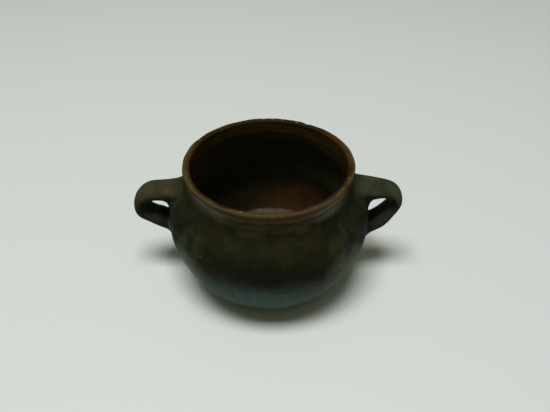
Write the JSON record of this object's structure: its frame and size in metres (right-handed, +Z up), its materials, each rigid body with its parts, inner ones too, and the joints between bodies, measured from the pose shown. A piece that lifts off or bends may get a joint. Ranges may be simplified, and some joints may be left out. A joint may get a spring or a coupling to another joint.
{
  "type": "clay cooking pot",
  "caption": "Small round-bellied earthenware cooking pot with a flat foot, a short collar and rolled lip, a strap ear handle at each side and a glazed inside.",
  "frame": {"origin": "middle of the flat foot, on the surface that the pot stands on", "axes": "+Z up the pot's axis and out of its mouth, +X towards the right handle, +Y towards the back as pictured"},
  "size_m": [0.1801, 0.1356, 0.09],
  "materials": {
    "pot_clay": "satin, smoke-blackened over dark olive brown",
    "handle_clay": "satin, smoke-blackened with brown worn patches",
    "inner_glaze": "glossy, dark red brown"
  },
  "bodies": {
    "root": {"body": "pot_clay", "inner_glaze": "inner_glaze", "left_handle": "handle_clay", "right_handle": "handle_clay"}
  },
  "joints": []
}
